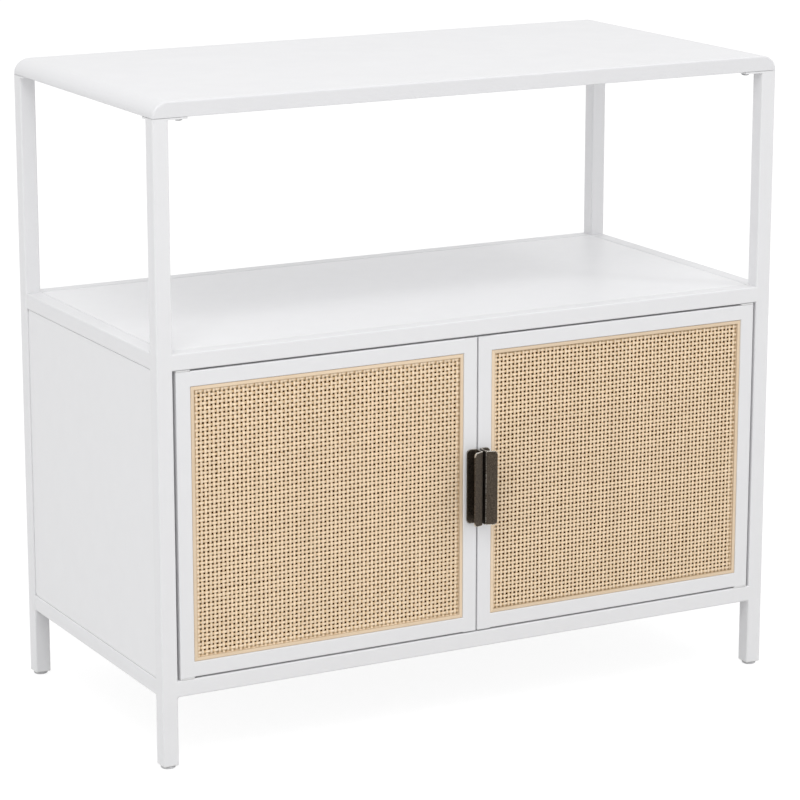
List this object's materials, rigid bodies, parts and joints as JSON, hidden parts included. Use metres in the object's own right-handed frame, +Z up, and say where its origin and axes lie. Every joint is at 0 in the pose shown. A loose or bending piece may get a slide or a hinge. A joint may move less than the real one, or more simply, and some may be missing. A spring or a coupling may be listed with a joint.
{
  "type": "two-door cabinet",
  "caption": "Low steel-framed cabinet with an open display bay under a round-ended top and a cupboard closed by pivot-hung doors with woven cane panels.",
  "frame": {"origin": "on the floor, in the middle of the outline that the frame and the handles cover together", "axes": "+X to the cabinet's right as seen from the front, -Y towards the front, +Z up"},
  "size_m": [0.8, 0.416, 0.75],
  "materials": {
    "white_powder_coat": "fine satin white powder coat on steel tube and folded sheet",
    "white_board": "satin white lacquer on fibreboard",
    "woven_cane": "natural close-woven cane webbing, satin skin side out",
    "cane_strip": "natural flat rattan strip",
    "stretcher_wood": "plain sawn softwood",
    "aged_bronze": "dark antique bronze, brighter on its worn edges",
    "zinc_screw": "zinc plated",
    "grey_plastic": "moulded grey plastic",
    "white_plastic": "moulded white plastic"
  },
  "bodies": {
    "frame": {"post_front_left": "white_powder_coat", "post_front_right": "white_powder_coat", "post_rear_left": "white_powder_coat", "post_rear_right": "white_powder_coat", "top_plate_front_left": "white_powder_coat", "top_plate_front_right": "white_powder_coat", "top_plate_rear_left": "white_powder_coat", "top_plate_rear_right": "white_powder_coat", "base_rail_front": "white_powder_coat", "base_rail_rear": "white_powder_coat", "base_rail_left": "white_powder_coat", "base_rail_right": "white_powder_coat", "deck_rail_front": "white_powder_coat", "deck_rail_rear": "white_powder_coat", "deck_rail_left": "white_powder_coat", "deck_rail_right": "white_powder_coat", "deck_panel": "white_powder_coat", "floor_panel": "white_powder_coat", "back_panel": "white_powder_coat", "side_panel_left": "white_powder_coat", "side_panel_right": "white_powder_coat", "top_board": "white_board", "top_screw_front_left": "zinc_screw", "top_screw_front_right": "zinc_screw", "top_screw_rear_left": "zinc_screw", "top_screw_rear_right": "zinc_screw", "foot_plug_front_left": "white_plastic", "foot_plug_front_right": "white_plastic", "foot_plug_rear_left": "white_plastic", "foot_plug_rear_right": "white_plastic", "door_catch": "white_plastic"},
    "left_door": {"left_hinge_stile": "white_powder_coat", "left_meeting_stile": "white_powder_coat", "left_top_rail": "white_powder_coat", "left_bottom_rail": "white_powder_coat", "left_lower_pivot": "white_plastic", "left_upper_pivot": "white_plastic", "left_cane_panel": "woven_cane", "left_cane_spline": "cane_strip", "left_cane_stretcher": "stretcher_wood", "left_handle": "aged_bronze", "left_handle_screw_upper": "zinc_screw", "left_handle_screw_lower": "zinc_screw"},
    "right_door": {"right_hinge_stile": "white_powder_coat", "right_meeting_stile": "white_powder_coat", "right_top_rail": "white_powder_coat", "right_bottom_rail": "white_powder_coat", "right_lower_pivot": "white_plastic", "right_upper_pivot": "white_plastic", "right_cane_panel": "woven_cane", "right_cane_spline": "cane_strip", "right_cane_stretcher": "stretcher_wood", "right_handle": "aged_bronze", "right_handle_screw_upper": "zinc_screw", "right_handle_screw_lower": "zinc_screw"},
    "leveller_front_left": {"leveller_front_left": "grey_plastic"},
    "leveller_front_right": {"leveller_front_right": "grey_plastic"},
    "leveller_rear_left": {"leveller_rear_left": "grey_plastic"},
    "leveller_rear_right": {"leveller_rear_right": "grey_plastic"}
  },
  "joints": [
    {"name": "left_door_hinge", "type": "hinge", "parent": "frame", "child": "left_door", "pos_m": [-0.36875, -0.17825, 0.1039], "axis": [0, 0, -1], "range_deg": [0, 105]},
    {"name": "right_door_hinge", "type": "hinge", "parent": "frame", "child": "right_door", "pos_m": [0.36875, -0.17825, 0.1039], "axis": [0, 0, 1], "range_deg": [0, 105]},
    {"name": "leveller_screw_front_left", "type": "slide", "parent": "frame", "child": "leveller_front_left", "axis": [0, 0, -1], "range_m": [0, 0.01]},
    {"name": "leveller_screw_front_right", "type": "slide", "parent": "frame", "child": "leveller_front_right", "axis": [0, 0, -1], "range_m": [0, 0.01]},
    {"name": "leveller_screw_rear_left", "type": "slide", "parent": "frame", "child": "leveller_rear_left", "axis": [0, 0, -1], "range_m": [0, 0.01]},
    {"name": "leveller_screw_rear_right", "type": "slide", "parent": "frame", "child": "leveller_rear_right", "axis": [0, 0, -1], "range_m": [0, 0.01]}
  ]
}
